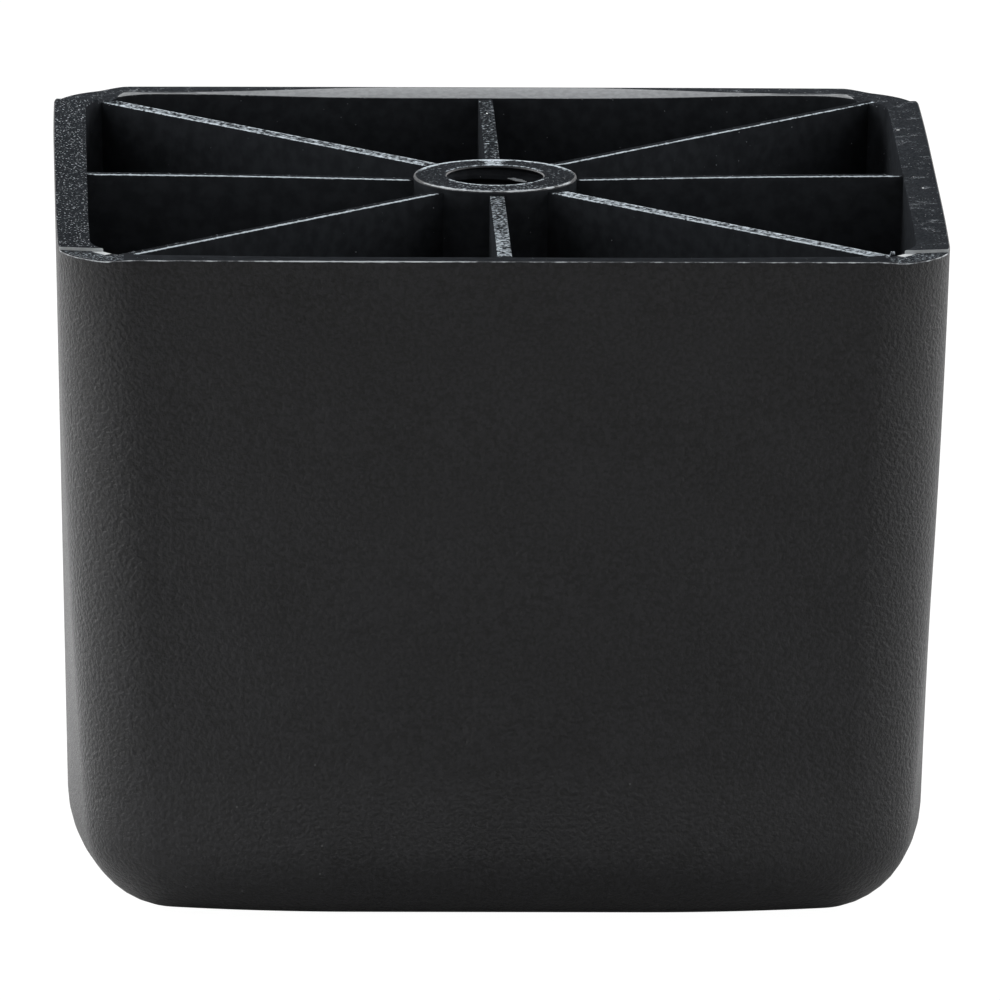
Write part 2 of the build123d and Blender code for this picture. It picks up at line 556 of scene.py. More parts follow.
@dataclass
class RibWeb:
    """Eight drafted ribs from the boss to the walls and corners, with sagging tops."""

    form: LegForm
    tops: tuple[RibTop, ...] = RIB_TOPS
    draft: float = 0.4
    clearance: float = 0.03
    sag: float = 0.6
    corner_drop: float = 0.4
    start: float = 5.7
    sink: float = 0.8
    edge_round: float = 0.1
    edge_band: float = 0.4
    flank_share: float = 0.3
    top_steps: int = 16
    round_steps: int = 8

    def thickness(self, number: int, level: float) -> float:
        """Half the thickness of a rib at one level."""
        return self.tops[number].width / 2 + (self.form.height - level) * math.tan(math.radians(self.draft))

    def top_level(self, reach: float, diagonal: bool) -> float:
        """Height of a rib's top at a distance from the axis: a sagging arc, or level towards a corner."""
        span = self.form.top_side / 2
        radius = (span * span + self.sag * self.sag) / (2 * self.sag)
        wall_top = self.form.height - self.form.corner_step - self.clearance
        level = wall_top - radius + math.sqrt(radius * radius - (span - min(reach, span)) ** 2)
        return min(level, wall_top - self.corner_drop) if diagonal else level

    def wall_reach(self, level: float, inset: float, diagonal: bool) -> float:
        """Distance from the axis to the form's section along a rib."""
        side, corner = self.form.outline(level, inset, [0.0], [0.5], self.form.corner_fill)[:2]
        return corner.length if diagonal else side.length

    def side_outline(self, diagonal: bool) -> list[tuple[float, float]]:
        """Outline of a rib seen from its side, as distance and height, from the boss down, out and up.

        Args:
            diagonal: Whether the rib runs to a corner.

        Returns:
            The outline without the rib's top edge.
        """
        form = self.form
        buried = form.wall - self.sink
        low = form.floor + form.floor_round
        outline = [(self.start, form.floor - self.sink)]
        for step in range(self.round_steps, -1, -1):
            angle = math.pi / 2 * step / self.round_steps
            radius = form.floor_round + self.sink
            inset = form.wall + form.floor_round - radius * math.cos(angle)
            level = low - radius * math.sin(angle)
            outline.append((self.wall_reach(max(level, 0.0), inset, diagonal), level))
        for share in (0.5, 1.0):
            level = low + (form.height - form.corner_step - low) * share
            outline.append((self.wall_reach(level, buried, diagonal), level))
        return outline

    def build(self, number: int) -> bpy.types.Object:
        """Build one rib as a closed bar.

        Args:
            number: Which rib, counted round from the +X side.

        Returns:
            The rib as an object.
        """
        along = Vector((1, 0, 0))
        along.rotate(Matrix.Rotation(2 * math.pi * number / len(self.tops), 3, "Z"))
        across = Vector((0, 0, 1)).cross(along)
        top, diagonal = self.tops[number], number % 2 == 1
        *lower, (end, _) = self.side_outline(diagonal)
        stations = [end + (self.start - end) * step / self.top_steps for step in range(self.top_steps + 1)]
        soft = self.edge_round * (1 - math.sqrt(0.5))
        skin = Skin()

        def rail(side: int, fall: float, draw: float, wear: float) -> list[int]:
            """One long edge along the rib's top."""
            points = []
            for reach in stations:
                lift = top.boss_lift + (top.end_lift - top.boss_lift) * reach / end
                level = self.top_level(reach, diagonal) + lift
                offset = side * (self.thickness(number, level) - draw)
                points.append(along * reach + across * offset + Vector((0, 0, level - fall)))
            return skin.row(points, [wear + top.end_wear_and_highlight * (reach / end) ** 2 for reach in stations])

        sides = []
        for side, worn in ((-1, top.right_wear_and_highlight), (1, top.left_wear_and_highlight)):
            points = []
            for reach, level in lower:
                offset = side * self.thickness(number, level)
                points.append(along * reach + across * offset + Vector((0, 0, level)))
            foot = skin.row(points)
            rails = [
                rail(side, self.edge_round, 0.0, self.flank_share * worn),
                rail(side, soft, soft, worn),
                rail(side, 0.0, self.edge_round, worn),
                rail(side, 0.0, self.edge_band, top.middle_wear_and_highlight),
            ]
            sides.append((foot, rails))
        (near_foot, near_rails), (far_foot, far_rails) = sides
        for foot, rails in sides:
            skin.face(foot + rails[0], Zone.CORE)
        for left, right in zip(range(len(near_foot)), range(1, len(near_foot))):
            skin.face([near_foot[left], far_foot[left], far_foot[right], near_foot[right]], Zone.CORE)
        strips = near_rails + far_rails[::-1]
        for one, other in zip(strips, strips[1:]):
            for i in range(self.top_steps):
                skin.face([one[i], one[i + 1], other[i + 1], other[i]], Zone.RIDGE)
        for place, foot_end in ((0, -1), (-1, 0)):
            around = [rails[place] for rails in strips]
            skin.face([near_foot[foot_end]] + around + [far_foot[foot_end]], Zone.CORE)
        return skin.to_object(f"rib_{number}")


@dataclass
class ThreadedBoss:
    """The central boss, with a chamfered mouth and a right-handed M10 thread in its bore."""

    form: LegForm
    radius: float = 7.25
    draft: float = 0.5
    clearance: float = 0.1
    edge_round: float = 0.2
    bore: float = 4.3
    mouth: float = 0.15
    depth: float = 40.0
    pitch: float = 1.5
    thread_depth: float = 0.8
    thread_length: float = 24.0
    thread_start: float = 0.6
    lead_in: float = 0.55
    run_out: float = 2.0
    crest_share: float = 0.25
    flank_share: float = 0.625
    # Painted highlight: a glint on the first thread crests, laid as pale colour through the wear attribute.
    glint_angle: float = 60.0
    glint_spread: float = 15.0
    glint_depth: float = 1.6
    glint_width: float = 0.09
    glint_painted_level: float = 1.1
    face_wear: float = 0.42
    side_share: float = 0.55
    side_fade: tuple[float, float] = (0.1, 0.6)
    rear_patch: float = 0.35
    rear_fade: tuple[float, float] = (0.98, 0.996)
    front_patch: float = 0.12
    front_fade: tuple[float, float] = (0.6, 0.95)
    turn_fade: tuple[float, float] = (-0.4, 0.3)
    sectors: int = 120
    fine_length: float = 3.6
    fine_step: float = 0.05
    coarse_step: float = 0.1875
    sink: float = 0.8
    neck: float = 1.0

    @property
    def top(self) -> float:
        """Height of the boss face, a little under the inner edge of the rim."""
        form = self.form
        return form.height - form.rim_drop - self.clearance

    def rubbed(self, angle: float) -> float:
        """Extra wear of the boss face: a patch by the back rib, and a wider one at the front."""
        away = math.sin(angle)
        rear = self.rear_patch * smooth(away, *self.rear_fade)
        return rear + self.front_patch * smooth(-away, *self.front_fade)

    def facing(self, angle: float) -> float:
        """Share of an edge's paleness round the boss: a painted highlight, full at the front and back where
        the edge catches the light, little at the sides.
        """
        return self.side_share + (1 - self.side_share) * smooth(abs(math.sin(angle)), *self.side_fade)

    def phase(self, level: float, angle: float) -> float:
        """Place across the thread's turn, from 0 to 1, with the crest in the middle."""
        return (level / self.pitch - angle / (2 * math.pi) + self.thread_start) % 1.0

    def groove(self, level: float, angle: float) -> float:
        """Depth of the thread's groove at a point of the bore, from 0 on a crest to the full depth.

        Args:
            level: Height of the point.
            angle: Angle of the point about the axis.

        Returns:
            How far the wall lies outside the bore's radius.
        """
        below = self.top - self.mouth - level
        fade = min(max(below / self.lead_in, 0.0), 1.0)
        fade *= min(max((self.thread_length - below) / self.run_out, 0.0), 1.0)
        flank = (abs(self.phase(level, angle) - 0.5) * 2 - self.crest_share) / self.flank_share
        return self.thread_depth * fade * min(max(flank, 0.0), 1.0)

    def glint(self, level: float, angle: float) -> float:
        """Painted highlight on the thread's first crests at the side of the bore that catches the light, laid
        through the wear attribute.
        """
        aside = abs(math.degrees(angle) - self.glint_angle) / self.glint_spread
        near = max(1 - aside * aside, 0.0)
        on_crest = abs(self.phase(level, angle) - 0.5) < self.glint_width * near
        return self.glint_painted_level if on_crest and level > self.top - self.glint_depth else 0.0

    def bore_levels(self) -> list[float]:
        """Heights of the rows down the bore: fine where light reaches, coarser below."""
        level = self.top - self.mouth
        levels = [level]
        while level > self.top - self.fine_length:
            level -= self.fine_step
            levels.append(level)
        while level > self.top - self.mouth - self.thread_length:
            level -= self.coarse_step
            levels.append(level)
        levels.append(self.top - self.depth)
        return levels

    @staticmethod
    def at(radius: float, angle: float, level: float) -> Vector:
        """Point at a radius and an angle about the axis."""
        return Vector((radius * math.cos(angle), radius * math.sin(angle), level))

    def build(self) -> bpy.types.Object:
        """Revolve the boss and cut its thread.

        Returns:
            The boss as an object.
        """
        skin = Skin()
        angles = [2 * math.pi * i / self.sectors for i in range(self.sectors)]
        top, edge, worn = self.top, self.edge_round, self.face_wear
        soft = edge * (1 - math.sqrt(0.5))
        foot = self.form.floor - self.sink
        foot_radius = self.radius + (top - foot) * math.tan(math.radians(self.draft))
        mouth = self.bore + self.mouth
        # Each row is a radius, a level, a zone, and the wear at the front and at the back, partly a painted
        # highlight
        profile = [
            (foot_radius, foot, Zone.CORE, 0.0, 0.0),
            (self.radius, top - self.neck, Zone.CORE, 0.0, 0.0),
            (self.radius, top - edge, Zone.EDGE, 0.2, 0.2),
            (self.radius - soft, top - soft, Zone.EDGE, 0.95, 0.8),
            (self.radius - edge, top, Zone.RING, 0.6, 1.0),
            (self.radius - 2.5 * edge, top, Zone.RING, worn, 0.85),
            (self.radius - 4.0 * edge, top, Zone.RING, worn, worn),
            (mouth + 3.0 * self.mouth, top, Zone.RING, worn, worn),
            (mouth + self.mouth, top, Zone.RING, 0.75, 0.7),
            (mouth, top, Zone.RING, 0.85, 0.75),
            (mouth - 0.4 * self.mouth, top - 0.25 * self.mouth, Zone.EDGE, 0.4, 0.4),
        ]
        rows = []
        for radius, level, zone, front, rear in profile:
            wear = []
            for angle in angles:
                spot = front + (rear - front) * smooth(math.sin(angle), *self.turn_fade)
                spot += self.rubbed(angle) if zone is Zone.RING else 0.0
                # Pale edges are painted fuller at the front and back as a highlight.
                wear.append(spot * self.facing(angle) if spot > self.face_wear else spot)
            points = [self.at(radius, angle, level) for angle in angles]
            rows.append((skin.row(points, wear), zone))
        for level in self.bore_levels():
            points = [self.at(self.bore + self.groove(level, angle), angle, level) for angle in angles]
            # The wear of the bore rows holds only the painted glint on the thread's crests.
            wear = [self.glint(level, angle) for angle in angles]
            rows.append((skin.row(points, wear), [Zone.EDGE if spot else Zone.CORE for spot in wear]))
        for (low, zone), (high, _) in zip(rows, rows[1:]):
            skin.band(low, high, zone)
        skin.face(rows[0][0][::-1], Zone.CORE)
        skin.face(rows[-1][0], Zone.CORE)
        return skin.to_object("boss")


@dataclass
class MouldNib:
    """A small nib of plastic that stands where the front right rib meets its corner."""

    place: tuple[float, float] = (33.8, -33.4)
    foot: float = 58.6
    top: float = 59.8
    foot_half: float = 0.45
    top_half: float = 0.16
    lean: float = 0.12
    wear: float = 0.8

    def build(self) -> bpy.types.Object:
        """Build the nib as a small leaning frustum.

        Returns:
            The nib as an object.
        """
        skin = Skin()
        rows = []
        for level, half, lean in ((self.foot, self.foot_half, 0.0), (self.top, self.top_half, self.lean)):
            corners = ((-half, -half), (half, -half), (half, half), (-half, half))
            x, y = self.place
            rows.append(skin.row([Vector((x + lean + dx, y + dy, level)) for dx, dy in corners], self.wear))
        skin.band(rows[0], rows[1], Zone.RIDGE)
        skin.face(rows[0][::-1], Zone.RIDGE)
        skin.face(rows[1], Zone.RIDGE)
        return skin.to_object("nib")


class NodeSheet:
    """Shorthand for placing and wiring the nodes of one tree."""

    def __init__(self, tree: bpy.types.NodeTree) -> None:
        """Start on an empty tree."""
        self.tree = tree
        tree.nodes.clear()

    def place(
        self,
        kind: str,
        inputs: dict[str | int, object] | None = None,
        settings: dict[str, object] | None = None,
    ) -> bpy.types.Node:
        """Place one node.

        Args:
            kind: The node's type, without the leading ShaderNode.
            inputs: What each named or numbered input gets: a socket to link, or a value.
            settings: The node's own settings.

        Returns:
            The node.
        """
        name = kind if kind.startswith("NodeGroup") else f"ShaderNode{kind}"
        node = self.tree.nodes.new(name)
        for key, value in (settings or {}).items():
            setattr(node, key, value)
        for key, value in (inputs or {}).items():
            if isinstance(value, bpy.types.NodeSocket):
                self.tree.links.new(value, node.inputs[key])
            else:
                node.inputs[key].default_value = value
        return node

    def math(self, operation: str, first: object, second: object = 0.0) -> bpy.types.NodeSocket:
        """Place a math node and return its result."""
        return self.place("Math", {0: first, 1: second}, {"operation": operation}).outputs[0]

    def span(
        self, value: object, low: float, high: float, start: float = 0.0, end: float = 1.0
    ) -> bpy.types.NodeSocket:
        """Place a smooth map range node and return its result."""
        inputs = {"Value": value, "From Min": low, "From Max": high, "To Min": start, "To Max": end}
        return self.place("MapRange", inputs, {"interpolation_type": "SMOOTHSTEP"}).outputs["Result"]

    def blend(self, share: object, first: object, second: object) -> bpy.types.NodeSocket:
        """Place a colour mix node and return its result."""
        node = self.place("Mix", {0: share, 6: first, 7: second}, {"data_type": "RGBA"})
        return node.outputs[2]

    def group(self, group: bpy.types.NodeTree, inputs: dict[str, object]) -> bpy.types.Node:
        """Place a shared node group with its own values."""
        node = self.tree.nodes.new("ShaderNodeGroup")
        node.node_tree = group
        for key, value in inputs.items():
            node.inputs[key].default_value = value
        return node


class MarkKind(Enum):
    """Kinds of single mark on the plastic."""

    SPECK = "Speck"
    PIT = "Pit"


@dataclass(frozen=True)
class Mark:
    """One mark on the plastic: its place and half sizes in millimetres, and how strong it is."""

    kind: MarkKind
    place: tuple[float, float, float]
    size: tuple[float, float, float] = (0.12, 0.4, 0.12)
    strength: float = 0.06


class SharedEffects:
    """Node groups that several finishes of the plastic use."""

    SPECKLE_LIMITS = (0.3, 0.7)
    SPECKLE_SHARE = 0.6
    CHAFE_SWING = 1.8
    CHAFE_LIMIT = 1.2
    CHAFE_FADE = 0.45
    SCUFF_LINE = 0.12
    SCUFF_LIMIT = 0.5
    SCUFF_GAIN = 0.4
    SCUFF_FADE = 0.12
    MARK_CORE = 0.6

    def __init__(self, marks: tuple[Mark, ...]) -> None:
        """Build each group once, with the marks that the plastic carries."""
        self.grain = self.build_grain()
        self.chafe = self.build_chafe()
        self.dust = self.build_dust()
        self.scuff = self.build_scuff()
        self.marks = self.build_marks(marks)

    @staticmethod
    def start(
        name: str, inputs: dict[str, float], outputs: list[str]
    ) -> tuple[NodeSheet, bpy.types.Node, bpy.types.Node]:
        """Open a new group with float sockets.

        Args:
            name: Name of the group.
            inputs: Input names with their first values.
            outputs: Output names.

        Returns:
            The sheet to draw on, the group's input node and its output node.
        """
        tree = bpy.data.node_groups.new(name, "ShaderNodeTree")
        for label, value in inputs.items():
            socket = tree.interface.new_socket(label, in_out="INPUT", socket_type="NodeSocketFloat")
            socket.default_value = value
        for label in outputs:
            tree.interface.new_socket(label, in_out="OUTPUT", socket_type="NodeSocketFloat")
        sheet = NodeSheet(tree)
        return sheet, sheet.place("NodeGroupInput"), sheet.place("NodeGroupOutput")

    @staticmethod
    def noise(
        sheet: NodeSheet, size: bpy.types.NodeSocket, detail: float, roughness: float = 0.55
    ) -> bpy.types.NodeSocket:
        """Place object-space noise with features of a size in millimetres and return its value."""
        where = sheet.place("TexCoord").outputs["Object"]
        scale = sheet.math("DIVIDE", 1 / MM, size)
        inputs = {"Vector": where, "Scale": scale, "Detail": detail, "Roughness": roughness}
        return sheet.place("TexNoise", inputs).outputs["Fac"]

    def build_grain(self) -> bpy.types.NodeTree:
        """Fine grain of a spark-eroded mould: a bump height, and a tone with slow clouds and fine specks."""
        sizes = {"Size": 0.3, "Cloud Size": 9.0}
        sheet, given, out = self.start("moulded_grain", sizes, ["Height", "Tone"])
        fine = self.noise(sheet, given.outputs["Size"], 2.5)
        cloud = self.noise(sheet, given.outputs["Cloud Size"], 2.0)
        speckle = sheet.span(fine, *self.SPECKLE_LIMITS)
        fleck = sheet.math("MULTIPLY", speckle, self.SPECKLE_SHARE)
        tone = sheet.math("ADD", fleck, sheet.math("MULTIPLY", cloud, 1 - self.SPECKLE_SHARE))
        sheet.tree.links.new(fine, out.inputs["Height"])
        sheet.tree.links.new(tone, out.inputs["Tone"])
        return sheet.tree

    def build_chafe(self) -> bpy.types.NodeTree:
        """Whitening along worn edges, broken up as handling leaves it; the same mask also lays the painted
        highlights that the wear attribute carries.
        """
        sheet, given, out = self.start("chafed_edges_and_painted_highlights", {"Break Size": 2.2, "Reach": 0.5}, ["Mask"])
        wear = sheet.place("Attribute", settings={"attribute_name": WEAR}).outputs["Fac"]
        patches = self.noise(sheet, given.outputs["Break Size"], 4.0, 0.65)
        swing = sheet.math("MULTIPLY", sheet.math("SUBTRACT", patches, 0.5), self.CHAFE_SWING)
        level = sheet.math("ADD", wear, swing)
        limit = sheet.math("SUBTRACT", self.CHAFE_LIMIT, given.outputs["Reach"])
        above = sheet.math("SUBTRACT", level, limit)
        sheet.tree.links.new(sheet.span(above, 0.0, self.CHAFE_FADE), out.inputs["Mask"])
        return sheet.tree

    def build_dust(self) -> bpy.types.NodeTree:
        """Scattered pale specks of dust, each of its own paleness."""
        sizes = {"Spacing": 1.2, "Size": 0.07, "Share": 0.5}
        sheet, given, out = self.start("dust_specks", sizes, ["Mask"])
        where = sheet.place("TexCoord").outputs["Object"]
        scale = sheet.math("DIVIDE", 1 / MM, given.outputs["Spacing"])
        cells = sheet.place("TexVoronoi", {"Vector": where, "Scale": scale, "Randomness": 1.0})
        radius = sheet.math("DIVIDE", given.outputs["Size"], given.outputs["Spacing"])
        near = sheet.math("LESS_THAN", cells.outputs["Distance"], radius)
        pick = sheet.place("SeparateColor", {"Color": cells.outputs["Color"]})
        kept = sheet.math("LESS_THAN", pick.outputs["Red"], given.outputs["Share"])
        pale = sheet.math("MULTIPLY", pick.outputs["Green"], pick.outputs["Green"])
        mask = sheet.math("MULTIPLY", sheet.math("MULTIPLY", near, kept), pale)
        sheet.tree.links.new(mask, out.inputs["Mask"])
        return sheet.tree

    def build_scuff(self) -> bpy.types.NodeTree:
        """Short scuffs and scratches left by rubbing."""
        sheet, given, out = self.start("scuff_marks", {"Size": 1.6, "Share": 0.4}, ["Mask"])
        patches = self.noise(sheet, given.outputs["Size"], 3.0, 0.7)
        fine = sheet.math("MULTIPLY", given.outputs["Size"], self.SCUFF_LINE)
        lines = self.noise(sheet, fine, 3.0, 0.7)
        level = sheet.math("MULTIPLY", patches, lines)
        gain = sheet.math("MULTIPLY", given.outputs["Share"], self.SCUFF_GAIN)
        limit = sheet.math("SUBTRACT", self.SCUFF_LIMIT, gain)
        above = sheet.math("SUBTRACT", level, limit)
        sheet.tree.links.new(sheet.span(above, 0.0, self.SCUFF_FADE), out.inputs["Mask"])
        return sheet.tree

    def build_marks(self, marks: tuple[Mark, ...]) -> bpy.types.NodeTree:
        """Single marks at their own places: specks paler than the plastic, and pits darker than it."""
        sheet, _, out = self.start("single_marks", {}, [kind.value for kind in MarkKind])
        where = sheet.place("TexCoord").outputs["Object"]
        for kind in MarkKind:
            mask: object = 0.0
            for mark in (mark for mark in marks if mark.kind is kind):
                middle = Vector(mark.place) * MM
                offset = sheet.place("VectorMath", {0: where, 1: middle}, {"operation": "SUBTRACT"})
                shape = [1 / (MM * size) for size in mark.size]
                sized = sheet.place("VectorMath", {0: offset.outputs[0], 1: shape}, {"operation": "MULTIPLY"})
                away = sheet.place("VectorMath", {0: sized.outputs[0]}, {"operation": "LENGTH"})
                spot = sheet.span(away.outputs["Value"], 1.0, self.MARK_CORE, 0.0, mark.strength)
                mask = sheet.math("MAXIMUM", mask, spot)
            sheet.tree.links.new(mask, out.inputs[kind.value])
        return sheet.tree


@dataclass(frozen=True)
class PlasticFinish:
    """One finish of the black plastic, with sizes in millimetres and colours as linear light."""

    name: str
    dark: float
    light: float
    tint: Colour = (1.0, 1.107, 1.26)
    roughness: float = 0.5
    roughness_spread: float = 0.08
    specular: float = 0.0
    grain_size: float = 0.2
    grain_depth: float = 0.01
    chafe_reach: float = 0.5
    chafe_break: float = 2.2
    dust_share: float = 0.0
    dust_spacing: float = 0.5
    dust_size: float = 0.055
    scuff_share: float = 0.0
    pale_wear_and_highlight: Colour = (0.54, 0.57, 0.6)
    scuffed: Colour = (0.19, 0.205, 0.22)
    dust: Colour = (0.75, 0.76, 0.77)
    pit: Colour = (0.0, 0.0, 0.0)
    tone_limits: tuple[float, float] = (0.25, 0.75)

    def shade(self, level: float) -> tuple[float, float, float, float]:
        """Colour of the bare plastic at one level of brightness."""
        return (*(level * part for part in self.tint), 1)

    def coloured(
        self, sheet: NodeSheet, effects: SharedEffects, grain: bpy.types.NodeSocket
    ) -> bpy.types.NodeSocket:
        """Lay scuffs, whitening with the painted highlights it carries, dust and single marks over the
        grained plastic.

        Args:
            sheet: The material's sheet.
            effects: The shared node groups.
            grain: Tone of the grain.

        Returns:
            The colour.
        """
        chafe = sheet.group(effects.chafe, {"Reach": self.chafe_reach, "Break Size": self.chafe_break})
        specks = {"Share": self.dust_share, "Spacing": self.dust_spacing, "Size": self.dust_size}
        marks = sheet.group(effects.marks, {})
        layers = (
            (sheet.group(effects.scuff, {"Share": self.scuff_share}).outputs["Mask"], self.scuffed),
            (chafe.outputs["Mask"], self.pale_wear_and_highlight),
            (sheet.group(effects.dust, specks).outputs["Mask"], self.dust),
            (marks.outputs[MarkKind.SPECK.value], self.dust),
            (marks.outputs[MarkKind.PIT.value], self.pit),
        )
        tone = sheet.blend(grain, self.shade(self.dark), self.shade(self.light))
        for mask, colour in layers:
            tone = sheet.blend(mask, tone, (*colour, 1))
        return tone

    def material(self, effects: SharedEffects) -> bpy.types.Material:
        """Wire the finish.

        Args:
            effects: The shared node groups.

        Returns:
            The material.
        """
        material = bpy.data.materials.new(self.name)
        material.use_nodes = True
        sheet = NodeSheet(material.node_tree)
        grain = sheet.group(effects.grain, {"Size": self.grain_size})
        tone = grain.outputs["Tone"]
        low, high = self.roughness - self.roughness_spread, self.roughness + self.roughness_spread
        height = {"Height": grain.outputs["Height"], "Strength": 1.0, "Distance": self.grain_depth * MM}
        plastic = sheet.place(
            "BsdfPrincipled",
            {
                "Base Color": self.coloured(sheet, effects, tone),
                "Roughness": sheet.span(tone, *self.tone_limits, low, high),
                "Specular IOR Level": self.specular,
                "Normal": sheet.place("Bump", height).outputs["Normal"],
            },
        )
        sheet.place("OutputMaterial", {"Surface": plastic.outputs["BSDF"]})
        return material


@dataclass
class LegMoulding:
    """The whole leg: shell, ribs and boss united into one moulding and dressed."""

    form: LegForm
    finishes: dict[Zone, PlasticFinish]
    crease: float = 32.0

    @staticmethod
    def worn(mesh: bpy.types.Mesh) -> list[tuple[bpy.types.MeshVertex, bpy.types.FloatAttributeValue]]:
        """Pair each point of a mesh with its wear."""
        return list(zip(mesh.vertices, mesh.attributes[WEAR].data))

    def unite(self, base: bpy.types.Object, others: list[bpy.types.Object]) -> bpy.types.Mesh:
        """Unite closed objects into one mesh, whose points keep the wear of the nearest point of the parts.

        Args:
            base: The object that the others join.
            others: The objects that join it.

        Returns:
            The united mesh.
        """
        pieces = [base, *others]
        spots = [(vert.co.copy(), wear.value) for piece in pieces for vert, wear in self.worn(piece.data)]
        for other in others:
            joint = base.modifiers.new(other.name, "BOOLEAN")
            joint.operation = "UNION"
            joint.solver = "EXACT"
            joint.object = other
        graph = bpy.context.evaluated_depsgraph_get()
        mesh = bpy.data.meshes.new_from_object(base.evaluated_get(graph))
        nearest = KDTree(len(spots))
        for number, (place, _) in enumerate(spots):
            nearest.insert(place, number)
        nearest.balance()
        for vert, wear in self.worn(mesh):
            _, number, _ = nearest.find(vert.co)
            wear.value = spots[number][1]
        for piece in pieces:
            spare = piece.data
            bpy.data.objects.remove(piece)
            bpy.data.meshes.remove(spare)
        return mesh

    def build(self, effects: SharedEffects) -> bpy.types.Object:
        """Build, unite and dress the moulding.

        Args:
            effects: The shared node groups.

        Returns:
            The finished piece.
        """
        materials = [self.finishes[zone].material(effects) for zone in Zone]
        web = RibWeb(self.form)
        parts = [Shell(self.form).build(), ThreadedBoss(self.form).build(), MouldNib().build()]
        parts += [web.build(number) for number in range(len(web.tops))]
        for part in parts:
            for material in materials:
                part.data.materials.append(material)
        mesh = self.unite(parts[0], parts[1:])
        mesh.name = "leg_moulding"
        mesh.shade_smooth()
        mesh.set_sharp_from_angle(angle=math.radians(self.crease))
        piece = bpy.data.objects.new("leg_moulding", mesh)
        bpy.context.scene.collection.objects.link(piece)
        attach(piece, BODY)
        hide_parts(NODE)
        return piece


@dataclass(frozen=True)
class PhotoCamera:
    """The camera that took the photograph, in millimetres and degrees."""

    elevation: float = 12.261
    azimuth: float = -1.484
    roll: float = 0.450
    distance: float = 1958.0
    pixels_per_mm: float = 11.2396
    shift_right: float = -0.6615
    shift_up: float = -0.2917

    def build(self, middle: Vector) -> bpy.types.Object:
        """Place the camera.

        Args:
            middle: Centre of the object, in millimetres.

        Returns:
            The camera, made the scene's own.
        """
        turn, rise, roll = (math.radians(v) for v in (self.azimuth, self.elevation, self.roll))
        right = Vector((math.cos(turn), math.sin(turn), 0))
        back = Vector((math.sin(turn) * math.cos(rise), -math.cos(turn) * math.cos(rise), math.sin(rise)))
        up = back.cross(right)
        aim = middle - right * self.shift_right - up * self.shift_up
        rolled_right = right * math.cos(roll) + up * math.sin(roll)
        rolled_up = up * math.cos(roll) - right * math.sin(roll)
        data = bpy.data.cameras.new("photo_camera")
        data.sensor_width = SENSOR
        data.lens = self.pixels_per_mm * self.distance * SENSOR / PHOTO_SIDE
        camera = bpy.data.objects.new("photo_camera", data)
        axes = Matrix((rolled_right, rolled_up, back)).transposed()
        camera.matrix_world = Matrix.Translation((aim + back * self.distance) * MM) @ axes.to_4x4()
        bpy.context.scene.collection.objects.link(camera)
        bpy.context.scene.camera = camera
        return camera


@dataclass(frozen=True)
class Softbox:
    """One soft studio lamp, in metres and watts."""

    name: str
    place: tuple[float, float, float]
    aim: tuple[float, float, float]
    width: float
    height: float
    power: float

    def build(self) -> bpy.types.Object:
        """Hang the lamp.

        Returns:
            The lamp.
        """
        data = bpy.data.lights.new(self.name, "AREA")
        data.shape = "RECTANGLE"
        data.size = self.width
        data.size_y = self.height
        data.energy = self.power
        lamp = bpy.data.objects.new(self.name, data)
        lamp.location = self.place
        lamp.rotation_euler = (Vector(self.aim) - lamp.location).to_track_quat("-Z", "Y").to_euler()
        lamp.visible_camera = False
        bpy.context.scene.collection.objects.link(lamp)
        return lamp


@dataclass(frozen=True)
class StudioLight:
    """Brightness of the room round the object: dim behind the camera, bright at the sides and the back."""

    front: float = 0.25
    side: float = 1.27
    back: float = 0.72
    left: float = 0.55
    right: float = 0.5
    above: float = 0.4

    def strength(self, sheet: NodeSheet) -> bpy.types.NodeSocket:
        """Wire the brightness by direction.

        Args:
            sheet: The world's sheet.

        Returns:
            The brightness.
        """
        where = sheet.place("TexCoord").outputs["Generated"]
        x, y, z = sheet.place("SeparateXYZ", {0: where}).outputs
        level = sheet.span(sheet.math("ABSOLUTE", x), 0.0, 1.0, self.front, self.side)
        level = sheet.math("ADD", level, sheet.span(y, 0.1, 0.9, 0.0, self.back))
        level = sheet.math("ADD", level, sheet.span(x, 0.1, -0.8, 0.0, self.left))
        level = sheet.math("ADD", level, sheet.span(x, 0.0, 0.6, 0.0, self.right))
        return sheet.math("MULTIPLY", level, sheet.span(z, 0.15, 0.65, 1.0, self.above))


